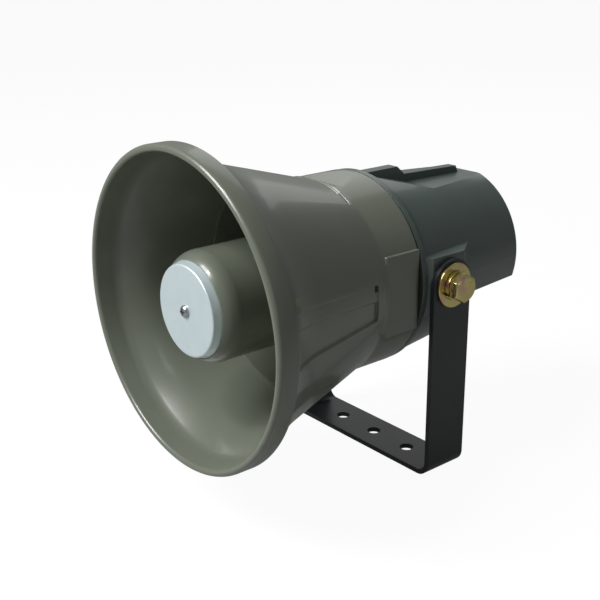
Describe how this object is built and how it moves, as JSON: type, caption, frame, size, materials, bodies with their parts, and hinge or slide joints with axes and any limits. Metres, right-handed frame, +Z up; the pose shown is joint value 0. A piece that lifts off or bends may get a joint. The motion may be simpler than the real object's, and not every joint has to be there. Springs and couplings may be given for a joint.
{
  "type": "horn_loudspeaker",
  "caption": "Small re-entrant horn loudspeaker: grey plastic bell with a silver-faced reflector, dark rear cover and a black steel U-bracket that it tilts in",
  "frame": {"origin": "centre of the middle base hole, on the underside of the bracket's base", "axes": "+Z up from the base to the pivot, +Y from the mouth to the rear cover, X along the pivot bolts"},
  "size_m": [0.15, 0.1853, 0.175],
  "materials": {
    "grey_plastic": "satin",
    "dark_plastic": "satin",
    "inner_plastic": "matt",
    "black_plastic": "matt",
    "disc_aluminium": "brushed",
    "bracket_steel": "satin black",
    "bolt_steel": "yellow zinc",
    "screw_steel": "bright zinc",
    "plate_steel": "zinc",
    "ferrite": "sintered",
    "core_steel": "laminated",
    "copper_wire": "enamelled",
    "gasket_rubber": "matt",
    "dome_film": "film",
    "cream_plastic": "matt",
    "terminal_brass": "bright"
  },
  "bodies": {
    "stand": {"bracket": "bracket_steel"},
    "horn": {"bell": "grey_plastic", "throat_bowl": "grey_plastic", "tone_tube": "grey_plastic", "reflector_cap": "grey_plastic", "front_disc": "disc_aluminium", "disc_screw": "screw_steel", "cover_gasket": "gasket_rubber", "rear_cover": "dark_plastic", "cover_screws": "screw_steel", "driver_throat": "inner_plastic", "driver_screws": "screw_steel", "phase_plug": "black_plastic", "surround": "dome_film", "clamp_ring": "black_plastic", "top_plate": "plate_steel", "magnet": "ferrite", "pole_plate": "plate_steel", "transformer_core": "core_steel", "transformer_coil": "copper_wire", "terminal_block": "cream_plastic", "terminal_screws": "terminal_brass", "cable_gland": "black_plastic", "gland_cap": "black_plastic", "gland_locknut": "black_plastic", "pivot_bolts": "bolt_steel", "plain_washers": "bolt_steel", "spring_washers": "bolt_steel", "captive_nuts": "bolt_steel"},
    "voice": {"diaphragm": "dome_film", "voice_coil": "copper_wire"}
  },
  "joints": [
    {"name": "tilt", "type": "hinge", "parent": "stand", "child": "horn", "pos_m": [0, 0, 0.1], "axis": [-1, 0, 0], "range_deg": [-42, 222]},
    {"name": "voice_stroke", "type": "slide", "parent": "horn", "child": "voice", "axis": [0, 1, 0], "range_m": [-0.0003, 0.0003], "stiffness_N_per_m": 2500}
  ]
}
